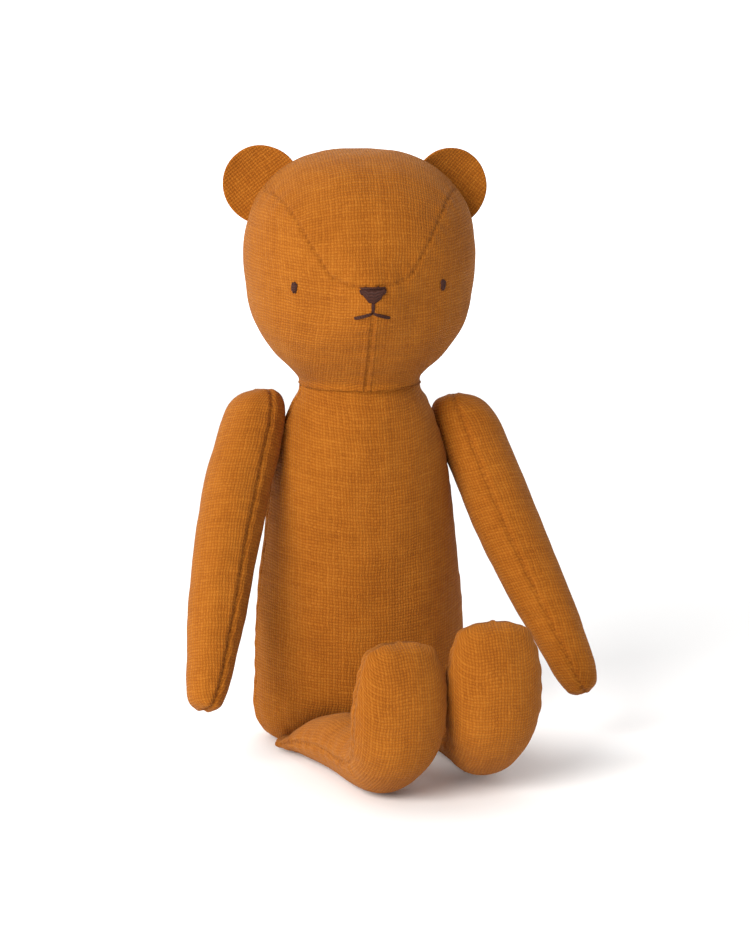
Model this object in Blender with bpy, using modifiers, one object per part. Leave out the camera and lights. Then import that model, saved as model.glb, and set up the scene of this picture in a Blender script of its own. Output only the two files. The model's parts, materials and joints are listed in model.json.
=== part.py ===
"""A jointed linen teddy bear, sitting with its legs out in front.

Metres, +Z up. The bear faces -Y and its own right is -X. The origin lies on the surface that
the bear sits on, below the middle of the bear's box. The linen covers are shells, filled with
polyester. Plastic disc joints hold the neck and the shoulders, and the flat tops of the legs
are sewn under the front edge of the torso, which makes the hips.
"""

import math

import bmesh
import bpy
from mathutils import Matrix, Vector

MM = 0.001

# Cloth and clearances
CLOTH = 0.8 * MM
GAP = 0.3 * MM
FILLING_GAP = 0.6 * MM
LAYERS = (("outside", 0.0), ("inside", CLOTH), ("core", CLOTH + FILLING_GAP))

# Where the torso's axis stands, behind the middle of the sitting bear
TORSO_Y = 22.9 * MM

# Torso: half widths and heights from the neck down to the seat
TORSO_HEIGHT = 85.4 * MM
TORSO_OUTLINE = (
    (0.0, 85.4), (8.0, 85.4), (13.8, 84.5), (17.4, 78.0), (20.1, 66.0), (22.8, 50.0),
    (25.0, 32.0), (26.2, 16.0), (25.6, 6.0), (19.5, 0.0), (10.0, 0.0), (0.0, 0.0),
)
SEAT_DEPTH_RATIO = 0.66
NECK_DEPTH_RATIO = 0.84
HEM_LIFT = 7.2 * MM
HEM_LIFT_START = 2.0 * MM
HEM_LIFT_LENGTH = 13.5 * MM
HEM_LIFT_HEIGHT = 34.0 * MM

# Head: half widths and heights above the neck seam, from the crown down
NECK_Z = 86.0 * MM
HEAD_TURN = math.radians(-9.5)
HEAD_OUTLINE = (
    (0.0, 55.2), (9.4, 54.6), (17.9, 51.0), (24.5, 43.8), (27.3, 34.6), (27.2, 25.8),
    (25.6, 16.0), (21.2, 8.0), (16.4, 2.6), (12.6, 0.0), (6.0, 0.0), (0.0, 0.0),
)
HEAD_DEPTH_RATIO = 0.9
SNOUT_HEIGHT = 23.0 * MM
SNOUT_REACH = 3.2 * MM
SNOUT_SPREAD = 9.0 * MM

# Ears
EAR_SPOT = {
    "right": (-22.3 * MM, 5.5 * MM, 47.4 * MM), "left": (21.9 * MM, 5.5 * MM, 45.6 * MM),
}
EAR_RADIUS = 9.4 * MM
EAR_HALF_THICKNESS = 2.8 * MM
EAR_CUP = 1.6 * MM
EAR_LEAN = math.radians(38.0)
EAR_TURN = math.radians(14.0)

# Face, in thread: places are (across, above the neck seam)
EYE_PLACE = (17.3 * MM, 25.7 * MM)
EYE_HALF_SIZE = (0.8 * MM, 1.45 * MM)
NOSE_PLACE = (0.0, 24.7 * MM)
NOSE_HALF_SIZE = (3.1 * MM, 2.1 * MM)
NOSE_POINT_HALF_WIDTH = 0.34
PHILTRUM_ENDS = ((0.0, 22.4 * MM), (0.0, 20.8 * MM))
MOUTH_CORNER = (4.3 * MM, 19.2 * MM)
MOUTH_TOP = (0.55 * MM, 20.4 * MM)
THREAD_HALF_WIDTH = 0.45 * MM
THREAD_STAND = 0.55 * MM
LONG_STITCH_LIFT = 0.35 * MM
EYE_STAND = 0.9 * MM
NOSE_STAND = 1.3 * MM

# Arms: a point on the torso's side, and half widths from shoulder to tip
SHOULDER_Z = {"right": 73.3 * MM, "left": 70.8 * MM}
SHOULDER_SLOPE = {"right": math.radians(18.6), "left": math.radians(18.0)}
ARM_SWING = {"right": math.radians(25.5), "left": math.radians(24.5)}
ARM_GAP = 0.9 * MM
ARM_HALF_WIDTH = 7.8 * MM
ARM_OUTLINE = (
    (0.0, 8.6), (4.8, 7.4), (7.2, 2.6), (7.7, -8.0), (7.8, -19.0), (7.4, -33.0),
    (6.7, -47.0), (5.6, -58.0), (4.2, -65.5), (0.0, -69.5),
)

# Legs: distance forward, height, half thickness and half width from hip to toe
HIP_X = 16.0 * MM
HIP_FORWARD = 9.0 * MM
HIP_Z = 1.5 * MM
LEG_TOE_IN = {"right": math.radians(6.4), "left": math.radians(2.0)}
LEG_RAISE = {"right": 0.0, "left": math.radians(2.0)}
LEG_STATIONS = (
    (0.0, 0.0, 0.0, 0.0), (0.4, 0.0, 1.1, 6.3), (5.0, 1.1, 2.4, 7.0), (13.0, 3.7, 5.0, 7.5),
    (25.0, 5.6, 6.9, 7.6), (37.0, 6.0, 7.3, 7.8), (46.0, 7.4, 7.9, 8.8), (52.2, 12.0, 7.9, 10.2),
    (54.8, 19.0, 7.4, 11.1), (55.4, 26.0, 6.4, 10.4), (55.2, 31.6, 4.8, 8.2),
    (54.9, 35.2, 2.8, 5.2), (54.8, 36.8, 0.0, 0.0),
)
LEG_ROOT_CUT = 1.6 * MM
LEG_END_SHARE = 0.035
LEG_LEAST_SHARE = 0.4
LEG_CUTTER_REACH = 20.0 * MM

# Plastic disc joints: the disc and stem in the limb, a washer and a locking washer in the torso
SHOULDER_JOINT = {
    "disc_radius": 4.4 * MM, "disc_thickness": 1.1 * MM, "stem_radius": 1.4 * MM,
    "disc_at": 3.4 * MM, "washer_radius": 4.4 * MM, "washer_at": 2.4 * MM,
    "lock_radius": 2.9 * MM, "end": 6.6 * MM,
}
NECK_JOINT = {
    "disc_radius": 7.5 * MM, "disc_thickness": 1.3 * MM, "stem_radius": 1.8 * MM,
    "disc_at": 1.4 * MM, "washer_radius": 7.0 * MM, "washer_at": 1.9 * MM,
    "lock_radius": 3.8 * MM, "end": 6.4 * MM,
}
WASHER_THICKNESS = 1.1 * MM
JOINT_STEPS = 16
HOLE_REACH = 3.0 * MM
NECK_HOLE_REACH = 2.0 * MM
POCKET_REACH = 10.0 * MM

SIDES = {"right": -1, "left": 1}


def clear_scene():
    for thing in list(bpy.data.objects):
        bpy.data.objects.remove(thing, do_unlink=True)


def new_collection(name):
    group = bpy.data.collections.new(name)
    bpy.context.scene.collection.children.link(group)
    return group


def new_material(name, colour, roughness):
    """A plain Principled material; colour is linear RGB."""
    material = bpy.data.materials.new(name)
    material.use_nodes = True
    shader = material.node_tree.nodes["Principled BSDF"]
    shader.inputs["Base Color"].default_value = (*colour, 1.0)
    shader.inputs["Roughness"].default_value = roughness
    shader.inputs["Metallic"].default_value = 0.0
    material.diffuse_color = (*colour, 1.0)
    return material


clear_scene()
BEAR = new_collection("jointed_teddy_bear")
CUTTERS = new_collection("cutters")
LINEN = new_material("ochre_linen", (0.48, 0.17, 0.03), 0.85)
FILLING = new_material("polyester_filling", (0.86, 0.85, 0.82), 0.95)
THREAD = new_material("brown_thread", (0.05, 0.018, 0.01), 0.7)
PLASTIC = new_material("joint_plastic", (0.78, 0.77, 0.72), 0.45)


# Curves and forms

def smooth_point(points, share):
    """The point at share (0 to 1) of a smooth curve through the given points."""
    last = len(points) - 1
    place = min(max(share, 0.0), 1.0) * last
    index = min(int(place), last - 1)
    u = place - index
    before = points[max(index - 1, 0)]
    after = points[min(index + 2, last)]
    return [
        0.5 * (2 * b + (c - a) * u + (2 * a - 5 * b + 4 * c - d) * u**2 + (3 * b - a - 3 * c + d) * u**3)
        for a, b, c, d in zip(before, points[index], points[index + 1], after)
    ]


def smooth_step(share):
    share = min(max(share, 0.0), 1.0)
    return share * share * (3.0 - 2.0 * share)


def mix(start, end, share):
    return start + (end - start) * share


def torso_point(turn, down):
    """A point of the torso: turn goes round its axis, down from the neck to the seat."""
    half_width, height = (value * MM for value in smooth_point(TORSO_OUTLINE, down))
    height = min(max(height, 0.0), TORSO_HEIGHT)
    ratio = mix(SEAT_DEPTH_RATIO, NECK_DEPTH_RATIO, height / TORSO_HEIGHT)
    x = half_width * math.cos(turn)
    y = half_width * ratio * math.sin(turn)
    forward = smooth_step((-y - HEM_LIFT_START) / HEM_LIFT_LENGTH)
    low = max(1.0 - height / HEM_LIFT_HEIGHT, 0.0)
    return Vector((x, y, height + HEM_LIFT * forward * low * low))


def head_point(turn, down):
    """A point of the head, from the crown to the neck seam, with a slight snout in front."""
    half_width, height = (value * MM for value in smooth_point(HEAD_OUTLINE, down))
    half_width = max(half_width, 0.0)
    height = max(height, 0.0)
    x = half_width * math.cos(turn)
    y = half_width * HEAD_DEPTH_RATIO * math.sin(turn)
    if y < 0.0:
        off_centre = (x / SNOUT_SPREAD) ** 2 + ((height - SNOUT_HEIGHT) / SNOUT_SPREAD) ** 2
        y -= SNOUT_REACH * math.exp(-off_centre)
    return Vector((x, y, height))


def arm_point(side):
    """The arm's form: it hangs from the shoulder, its inner side just off the torso."""
    def place(turn, down):
        radius, height = (value * MM for value in smooth_point(ARM_OUTLINE, down))
        offset = side * (ARM_GAP + ARM_HALF_WIDTH)
        return Vector((offset + radius * math.cos(turn), radius * math.sin(turn), height))
    return place


def leg_form(inset):
    """The leg's form: flat at the hip, round along the leg, and turned up into the foot."""
    end_share = LEG_END_SHARE * inset / CLOTH

    def place(turn, down):
        is_end = down in (0.0, 1.0)
        down = mix(end_share, 1.0 - end_share, down)
        forward, height, half_thick, half_wide = (v * MM for v in smooth_point(LEG_STATIONS, down))
        ahead = smooth_point(LEG_STATIONS, down + 0.01)
        behind = smooth_point(LEG_STATIONS, down - 0.01)
        along = Vector((ahead[0] - behind[0], ahead[1] - behind[1])).normalized()
        half_thick = 0.0 if is_end else max(half_thick - inset, LEG_LEAST_SHARE * half_thick)
        half_wide = 0.0 if is_end else max(half_wide - inset, LEG_LEAST_SHARE * half_wide)
        across = half_thick * math.sin(turn)
        return Vector((
            half_wide * math.cos(turn),
            -(forward - across * along.y),
            height + across * along.x,
        ))
    return place


def ear_form(inset):
    """The ear's form: a flattened ball, cupped towards the front. It stands along Z."""
    radius = EAR_RADIUS - inset
    half_thickness = EAR_HALF_THICKNESS - inset

    def place(turn, down):
        polar = math.pi * down
        x = radius * math.sin(polar) * math.cos(turn)
        z = radius * math.cos(polar)
        y = half_thickness * math.sin(polar) * math.sin(turn)
        return Vector((x, y + EAR_CUP * (1.0 - (x * x + z * z) / EAR_RADIUS**2), z))
    return place


def pad_point(half_width, half_height, half_depth, point_share=1.0):
    """A small pad of thread, whose lower end has point_share of its width."""
    def place(turn, down):
        polar = math.pi * down
        height = half_height * math.cos(polar)
        width = half_width * mix(point_share, 1.0, (height / half_height + 1.0) / 2.0)
        return Vector((
            width * math.sin(polar) * math.cos(turn),
            half_depth * math.sin(polar) * math.sin(turn),
            height,
        ))
    return place


def form_mesh(name, place, segments, rings, inset=0.0):
    """A ball of segments by rings whose points go where place says, less an inset."""
    work = bmesh.new()
    bmesh.ops.create_uvsphere(work, u_segments=segments, v_segments=rings, radius=1.0)
    for vertex in work.verts:
        turn = math.atan2(vertex.co.y, vertex.co.x)
        down = math.acos(min(max(vertex.co.z, -1.0), 1.0)) / math.pi
        vertex.co = place(turn, down)
    bmesh.ops.recalc_face_normals(work, faces=work.faces)
    work.normal_update()
    for vertex, normal in [(v, v.normal.copy()) for v in work.verts]:
        vertex.co -= normal * inset
    mesh = bpy.data.meshes.new(name)
    work.to_mesh(mesh)
    work.free()
    mesh.shade_smooth()
    return mesh


def add_object(name, mesh, material, parent, matrix=None):
    """One sub-part, placed in its parent's frame."""
    piece = bpy.data.objects.new(name, mesh)
    BEAR.objects.link(piece)
    mesh.materials.append(material)
    piece.parent = parent
    piece.matrix_local = matrix or Matrix.Identity(4)
    return piece


def add_cutter(name, mesh, parent, matrix=None):
    cutter = bpy.data.objects.new(name, mesh)
    CUTTERS.objects.link(cutter)
    cutter.parent = parent
    cutter.matrix_local = matrix or Matrix.Identity(4)
    cutter.hide_render = True
    cutter.display_type = "WIRE"
    return cutter


def add_joint_frame(name, matrix, parent=None):
    """An empty on a joint's axis, which carries the pieces that turn about it."""
    frame = bpy.data.objects.new(name, None)
    BEAR.objects.link(frame)
    frame.empty_display_size = 0.01
    frame.parent = parent
    frame.matrix_local = matrix
    return frame


def cut(piece, cutter):
    step = piece.modifiers.new("cut_" + cutter.name, "BOOLEAN")
    step.operation = "DIFFERENCE"
    step.solver = "EXACT"
    step.object = cutter


def cylinder_mesh(name, radius, low, high, segments=JOINT_STEPS):
    """A cylinder along Z between two heights."""
    work = bmesh.new()
    bmesh.ops.create_cone(
        work, cap_ends=True, segments=segments, radius1=radius, radius2=radius, depth=high - low,
        matrix=Matrix.Translation((0.0, 0.0, (low + high) / 2.0)),
    )
    mesh = bpy.data.meshes.new(name)
    work.to_mesh(mesh)
    work.free()
    return mesh


def box_mesh(name, low, high):
    """A box between two corners."""
    low, high = Vector(low), Vector(high)
    work = bmesh.new()
    size = high - low
    bmesh.ops.create_cube(
        work, size=1.0,
        matrix=Matrix.Translation((low + high) / 2.0) @ Matrix.Diagonal((*size, 1.0)),
    )
    mesh = bpy.data.meshes.new(name)
    work.to_mesh(mesh)
    work.free()
    return mesh


def turned_piece(name, outline, closed, material, parent, matrix):
    """A turned piece: an outline of (radius, height) swept round Z by a Screw modifier."""
    count = len(outline)
    edges = [(i, i + 1) for i in range(count - 1)]
    if closed:
        edges.append((count - 1, 0))
    mesh = bpy.data.meshes.new(name)
    mesh.from_pydata([(radius, 0.0, height) for radius, height in outline], edges, [])
    piece = add_object(name, mesh, material, parent, matrix)
    sweep = piece.modifiers.new("turn", "SCREW")
    sweep.axis = "Z"
    sweep.angle = math.tau
    sweep.steps = JOINT_STEPS
    sweep.render_steps = JOINT_STEPS
    sweep.use_merge_vertices = True
    sweep.merge_threshold = 0.00001
    sweep.use_smooth_shade = False
    return piece


def add_stuffed_piece(name, meshes, parent, filling="stuffing"):
    """A linen cover, hollowed by its lining, and the filling in it. The caller opens the cover."""
    outside, inside, core_mesh = meshes
    shell = add_object(f"{name}_cover", outside, LINEN, parent)
    cut(shell, add_cutter(f"{name}_lining", inside, parent))
    core = add_object(f"{name}_{filling}", core_mesh, FILLING, parent)
    return shell, core


def nested_meshes(name, place, segments, rings):
    """The outside, the inside and the filling of a thick form, each inset along its normals."""
    return [
        form_mesh(f"{name}_{layer}", place, segments, rings, inset) for layer, inset in LAYERS]


def nested_thin_meshes(name, form, segments, rings):
    """The same for a form with thin edges, whose sizes are lessened instead."""
    return [form_mesh(f"{name}_{layer}", form(inset), segments, rings) for layer, inset in LAYERS]


# Joint hardware: Z runs along the joint's axis, out of the torso into the limb, and 0 is where
# the limb's cover and the torso's cover meet.

def disc_and_stem(name, sizes, parent, matrix):
    top = sizes["disc_at"] + sizes["disc_thickness"]
    return turned_piece(
        name,
        [
            (0.0, top), (sizes["disc_radius"], top), (sizes["disc_radius"], sizes["disc_at"]),
            (sizes["stem_radius"], sizes["disc_at"]), (sizes["stem_radius"], -sizes["end"]),
            (0.0, -sizes["end"]),
        ],
        False, PLASTIC, parent, matrix,
    )


def ring(name, radius, bore, high, parent, matrix):
    low = high - WASHER_THICKNESS
    return turned_piece(
        name, [(radius, high), (radius, low), (bore, low), (bore, high)], True, PLASTIC, parent, matrix)


def torso_washers(name, sizes, parent, matrix):
    """The washer that rubs on the torso's cover, and the one that locks on the stem."""
    bore = sizes["stem_radius"] + GAP
    high = -sizes["washer_at"]
    ring(f"{name}_washer", sizes["washer_radius"], bore, high, parent, matrix)
    ring(f"{name}_lock_washer", sizes["lock_radius"], bore, high - WASHER_THICKNESS - GAP, parent, matrix)


def stem_hole(name, sizes, low, high, parent, matrix):
    return add_cutter(
        name, cylinder_mesh(name, sizes["stem_radius"] + 2.0 * GAP, low, high), parent, matrix)


def washer_pocket(name, sizes, parent, matrix):
    """The space that the washers and the stem's end take in the torso's filling."""
    deep = -(sizes["end"] + 2.0 * GAP)
    return add_cutter(
        name, cylinder_mesh(name, sizes["washer_radius"] + 2.0 * GAP, deep, POCKET_REACH), parent, matrix)


def disc_pocket(name, sizes, parent, matrix):
    """The space that the disc takes in the limb's filling."""
    high = sizes["disc_at"] + sizes["disc_thickness"] + GAP
    return add_cutter(
        name, cylinder_mesh(name, sizes["disc_radius"] + 2.0 * GAP, -POCKET_REACH, high), parent, matrix)


# Sub-assemblies

def build_torso(root):
    return add_stuffed_piece("torso", nested_meshes("torso", torso_point, 20, 20), root)


def half_width_at(outline, height):
    """The outline's half width at a height, found by halving on its widest falling stretch."""
    low, high = 0.0, 1.0
    for _ in range(40):
        middle = (low + high) / 2.0
        if smooth_point(outline, middle)[1] * MM > height:
            low = middle
        else:
            high = middle
    return smooth_point(outline, low)[0] * MM


def head_front(across, height):
    """The depth of the head's front at a place on the face."""
    half_width = half_width_at(HEAD_OUTLINE, height)
    depth = half_width * HEAD_DEPTH_RATIO * math.sqrt(1.0 - (across / half_width) ** 2)
    off_centre = (across / SNOUT_SPREAD) ** 2 + ((height - SNOUT_HEIGHT) / SNOUT_SPREAD) ** 2
    return -depth - SNOUT_REACH * math.exp(-off_centre)


def face_frame(across, height):
    """A frame on the face: Z up the surface, and -Y out of it."""
    step = 0.5 * MM
    here = Vector((across, head_front(across, height), height))
    side = Vector((across + step, head_front(across + step, height), height)) - here
    above = Vector((across, head_front(across, height + step), height + step)) - here
    out = side.cross(above).normalized()
    up = above.normalized()
    sideways = up.cross(out)
    turn = Matrix((sideways, -out, up)).transposed()
    return Matrix.Translation(here) @ turn.to_4x4()


def add_thread_pad(name, centre, place, head, clearance, roll=0.0, stand=0.0):
    """A stitched pad on the face. The clearance form cuts its back to the head's surface."""
    matrix = face_frame(*centre) @ Matrix.Rotation(roll, 4, "Y") @ Matrix.Translation((0, -stand, 0))
    pad = add_object(name, form_mesh(name, place, 10, 8), THREAD, head, matrix)
    cut(pad, clearance)


def add_long_stitch(name, start, end, head, clearance):
    """One straight stitch between two places on the face."""
    centre = ((start[0] + end[0]) / 2.0, (start[1] + end[1]) / 2.0)
    length = math.hypot(end[0] - start[0], end[1] - start[1])
    roll = math.atan2(end[0] - start[0], end[1] - start[1])
    place = pad_point(THREAD_HALF_WIDTH, length / 2.0, THREAD_STAND)
    add_thread_pad(name, centre, place, head, clearance, roll, stand=LONG_STITCH_LIFT)


def build_face(head, clearance):
    for side_name, side in SIDES.items():
        add_thread_pad(
            f"{side_name}_eye", (side * EYE_PLACE[0], EYE_PLACE[1]),
            pad_point(*EYE_HALF_SIZE, EYE_STAND), head, clearance)
        add_long_stitch(
            f"{side_name}_mouth_stitch", (side * MOUTH_TOP[0], MOUTH_TOP[1]),
            (side * MOUTH_CORNER[0], MOUTH_CORNER[1]), head, clearance)
    add_thread_pad(
        "nose", NOSE_PLACE, pad_point(*NOSE_HALF_SIZE, NOSE_STAND, NOSE_POINT_HALF_WIDTH),
        head, clearance)
    add_long_stitch("chin_stitch", *PHILTRUM_ENDS, head, clearance)


def build_ear(side_name, side, head, clearance):
    matrix = (
        Matrix.Translation(Vector(EAR_SPOT[side_name]))
        @ Matrix.Rotation(side * EAR_TURN, 4, "Z")
        @ Matrix.Rotation(side * EAR_LEAN, 4, "Y")
    )
    frame = add_joint_frame(f"{side_name}_ear_frame", matrix, head)
    shell, padding = add_stuffed_piece(
        f"{side_name}_ear", nested_thin_meshes(f"{side_name}_ear", ear_form, 16, 10), frame, "padding")
    cut(shell, clearance)
    cut(padding, clearance)


def build_head(root, torso):
    """The head turns on the neck's disc joint. Its frame is on the joint's axis."""
    head = add_joint_frame(
        "neck_joint",
        Matrix.Translation((0.0, 0.0, NECK_Z)) @ Matrix.Rotation(HEAD_TURN, 4, "Z"), root)
    shell, core = add_stuffed_piece("head", nested_meshes("head", head_point, 22, 20), head)
    flat = Matrix.Identity(4)
    cut(shell, stem_hole("neck_hole", NECK_JOINT, -NECK_HOLE_REACH, HOLE_REACH, head, flat))
    cut(core, disc_pocket("neck_disc_pocket", NECK_JOINT, head, flat))
    disc_and_stem("neck_disc", NECK_JOINT, head, flat)
    seam = Matrix.Translation((0.0, 0.0, NECK_Z))
    torso_washers("neck", NECK_JOINT, root, seam)
    torso_shell, torso_core = torso
    cut(torso_shell, stem_hole("collar_hole", NECK_JOINT, -HOLE_REACH, NECK_HOLE_REACH, root, seam))
    cut(torso_core, washer_pocket("neck_washer_pocket", NECK_JOINT, root, seam))
    clearance = add_cutter("head_clearance", form_mesh("head_clearance", head_point, 22, 20, -GAP), head)
    build_face(head, clearance)
    for side_name, side in SIDES.items():
        build_ear(side_name, side, head, clearance)


def build_arm(side_name, side, root, torso):
    """The arm swings about an axis that leaves the torso's sloping side at right angles."""
    height = SHOULDER_Z[side_name]
    spot = Vector((side * half_width_at(TORSO_OUTLINE, height), 0.0, height))
    slope = Matrix.Translation(spot) @ Matrix.Rotation(-side * SHOULDER_SLOPE[side_name], 4, "Y")
    arm = add_joint_frame(
        f"{side_name}_shoulder_joint", slope @ Matrix.Rotation(-ARM_SWING[side_name], 4, "X"), root)
    meshes = nested_meshes(f"{side_name}_arm", arm_point(side), 14, 14)
    shell, core = add_stuffed_piece(f"{side_name}_arm", meshes, arm)
    out = Matrix.Rotation(side * math.pi / 2.0, 4, "Y")
    in_arm = out @ Matrix.Translation((0.0, 0.0, ARM_GAP))
    cut(shell, stem_hole(f"{side_name}_arm_hole", SHOULDER_JOINT, -HOLE_REACH, HOLE_REACH, arm, in_arm))
    cut(core, disc_pocket(f"{side_name}_disc_pocket", SHOULDER_JOINT, arm, in_arm))
    disc_and_stem(f"{side_name}_shoulder_disc", SHOULDER_JOINT, arm, in_arm)
    in_torso = slope @ out
    torso_washers(f"{side_name}_shoulder", SHOULDER_JOINT, root, in_torso)
    torso_shell, torso_core = torso
    hole = stem_hole(f"{side_name}_side_hole", SHOULDER_JOINT, -HOLE_REACH, HOLE_REACH, root, in_torso)
    cut(torso_shell, hole)
    cut(torso_core, washer_pocket(f"{side_name}_washer_pocket", SHOULDER_JOINT, root, in_torso))


def build_leg(side_name, side, root):
    """The leg's flat top is sewn under the torso's front edge and folds there."""
    hip = Vector((side * HIP_X, -HIP_FORWARD, HIP_Z))
    leg = add_joint_frame(
        f"{side_name}_hip_joint",
        Matrix.Translation(hip)
        @ Matrix.Rotation(-side * LEG_TOE_IN[side_name], 4, "Z")
        @ Matrix.Rotation(-LEG_RAISE[side_name], 4, "X"),
        root)
    meshes = nested_thin_meshes(f"{side_name}_leg", leg_form, 14, 22)
    shell, core = add_stuffed_piece(f"{side_name}_leg", meshes, leg)
    wide = LEG_CUTTER_REACH
    opening = add_cutter(
        f"{side_name}_leg_opening",
        box_mesh(f"{side_name}_leg_opening", (-wide, -LEG_ROOT_CUT, -wide), (wide, wide, wide)), leg)
    cut(shell, opening)
    inner_opening = add_cutter(
        f"{side_name}_leg_filling_end",
        box_mesh(f"{side_name}_leg_filling_end", (-wide, -2.0 * LEG_ROOT_CUT, -wide), (wide, wide, wide)),
        leg)
    cut(core, inner_opening)


def main():
    root = add_joint_frame("bear", Matrix.Translation((0.0, TORSO_Y, 0.0)))
    torso = build_torso(root)
    build_head(root, torso)
    for side_name, side in SIDES.items():
        build_arm(side_name, side, root, torso)
        build_leg(side_name, side, root)
    bpy.context.view_layer.update()


main()
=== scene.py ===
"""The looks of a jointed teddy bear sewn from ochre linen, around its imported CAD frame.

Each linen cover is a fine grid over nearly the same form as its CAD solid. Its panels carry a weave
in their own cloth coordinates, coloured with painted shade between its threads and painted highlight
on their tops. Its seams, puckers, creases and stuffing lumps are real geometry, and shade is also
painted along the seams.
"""

import json
import math

import bpy
import numpy as np
from mathutils import Matrix, Vector, kdtree
from mathutils import noise as lattice
from mathutils.bvhtree import BVHTree


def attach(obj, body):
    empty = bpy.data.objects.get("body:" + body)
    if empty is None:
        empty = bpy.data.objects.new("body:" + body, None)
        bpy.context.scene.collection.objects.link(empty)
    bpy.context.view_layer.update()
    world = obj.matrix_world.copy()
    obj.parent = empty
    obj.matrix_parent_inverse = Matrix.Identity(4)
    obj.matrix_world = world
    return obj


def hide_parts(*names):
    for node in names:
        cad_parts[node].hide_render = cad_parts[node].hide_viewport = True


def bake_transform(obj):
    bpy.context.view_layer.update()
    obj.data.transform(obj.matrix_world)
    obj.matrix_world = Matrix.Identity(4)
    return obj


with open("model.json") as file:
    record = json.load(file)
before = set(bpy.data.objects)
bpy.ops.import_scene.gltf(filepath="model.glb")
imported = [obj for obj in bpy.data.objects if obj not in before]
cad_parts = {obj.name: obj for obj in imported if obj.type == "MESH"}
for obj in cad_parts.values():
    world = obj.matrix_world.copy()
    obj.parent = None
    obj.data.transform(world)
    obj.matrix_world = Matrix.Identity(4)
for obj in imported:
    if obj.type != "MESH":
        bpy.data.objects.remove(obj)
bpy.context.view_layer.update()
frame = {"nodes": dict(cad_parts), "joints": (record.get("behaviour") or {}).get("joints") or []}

MM = 0.001
SIDES = {"right": -1, "left": 1}
JOINTS = {joint["name"]: joint for joint in frame["joints"]}

# Turns round a form. Its left side is 0. On a leg the front is the underside.
FRONT = -math.pi / 2.0
BACK = math.pi / 2.0

# Cloth
THREAD_PITCH = 0.72 * MM
GRID_STEP = 0.5 * MM
FINE_STEPS = 800
LUMP_SIZE = 11.0 * MM
SMALL_LUMP_SIZE = 4.2 * MM

# Covers: length round and length down, which set the grid; then the seed of the filling's lumps,
# and how high the large and the small ones are
COVERS = {
    "torso": (148.0 * MM, 122.0 * MM, 3, 0.3 * MM, 0.12 * MM),
    "head": (172.0 * MM, 128.0 * MM, 8, 0.3 * MM, 0.12 * MM),
    "ear": (44.0 * MM, 28.0 * MM, 20, 0.16 * MM, 0.08 * MM),
    "arm": (45.0 * MM, 92.0 * MM, 30, 0.3 * MM, 0.13 * MM),
    "leg": (52.0 * MM, 106.0 * MM, 40, 0.28 * MM, 0.12 * MM),
}

# How far each panel's weave is out of step with its neighbour's
BACK_PANEL_SHIFT = 0.37 * THREAD_PITCH
LEFT_CHEEK_SHIFT = 0.4 * THREAD_PITCH
RIGHT_CHEEK_SHIFT = 0.5 * THREAD_PITCH
OUTER_ARM_SHIFT = 0.45 * THREAD_PITCH
EAR_BACK_SHIFT = 0.3 * MM

# Seams: their stitches and the painted shade along them, the soft ridge beside them in widths of the
# groove, and their puckers
STITCH_LENGTH = 1.7 * MM
STITCH_PULL = 0.2
STITCH_SHADE = 0.45
SEAM_SHADE_WIDTH = 0.42 * MM
RIDGE_PLACE = 2.1
RIDGE_WIDTH = 1.3
PUCKER_HEIGHT = 0.12 * MM
PUCKER_LENGTH = 2.7 * STITCH_LENGTH
PUCKER_REACH = 3.2 * MM
PUCKER_GAP = 0.8
PUCKER_WANDER = 1.6
PUCKER_WANDER_SIZE = 6.0 * MM
PUCKER_SEED = 11

# Seams that run down a form: first share, last share and number of points
TORSO_SEAM = (0.19, 0.92, 400)
CHIN_SEAM = (0.46, 0.82, 240)
NAPE_SEAM = (0.47, 0.82, 240)
ARM_SEAM = (0.03, 0.97, 400)
LEG_SEAM = (0.04, 0.98, 500)
GUSSET_SEWING = {"depth": 0.3 * MM, "width": 0.4 * MM, "ridge": 0.08 * MM}
CHIN_SEWING = {"depth": 0.3 * MM, "width": 0.4 * MM, "ridge": 0.24 * MM, "shade": 0.5}
ARM_SEWING = {"depth": 0.5 * MM}

# Gathers at a drawn-in edge: height, how many times finer they are along x, y and z, size, reach
# and seed
TORSO_GATHERS = (0.28 * MM, (2.4, 2.4, 0.4), 5.0 * MM, 12.0 * MM, 81)
LEG_GATHERS = (0.3 * MM, (3.2, 0.5, 1.0), 4.0 * MM, 13.0 * MM, 71)

# Torso: half widths and heights in mm from the neck down to the seat
TORSO_HEIGHT = 85.9 * MM
TORSO_OUTLINE = (
    (0.0, 85.9), (13.5, 85.9), (14.3, 85.9), (14.8, 84.0), (17.6, 78.5), (21.2, 66.0), (23.3, 50.0),
    (25.1, 32.0), (26.0, 16.0), (25.8, 6.0), (21.0, 0.4), (10.0, 0.2), (0.0, 0.2),
)
SEAT_DEPTH_RATIO = 0.66
NECK_DEPTH_RATIO = 0.84
HEM_LIFT = 7.0 * MM
HEM_LIFT_START = 2.0 * MM
HEM_LIFT_LENGTH = 13.5 * MM
HEM_LIFT_HEIGHT = 34.0 * MM
SHOULDER_BULGE = 0.25 * MM
SHOULDER_BULGE_SIZE = 5.0 * MM

# Head: half widths and heights in mm above the neck joint, from the crown down
HEAD_TURN = math.radians(-9.5)
HEAD_OUTLINE = (
    (0.0, 55.2), (9.4, 54.6), (17.9, 51.0), (24.5, 43.8), (27.3, 34.6), (27.2, 25.8),
    (25.5, 16.0), (20.7, 8.0), (16.4, 3.5), (14.7, 1.5), (14.3, 0.0), (13.5, 0.0), (0.0, 0.0),
)
HEAD_DEPTH_RATIO = 0.9
SNOUT_HEIGHT = 23.0 * MM
SNOUT_REACH = 3.2 * MM
SNOUT_SPREAD = 9.0 * MM

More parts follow.
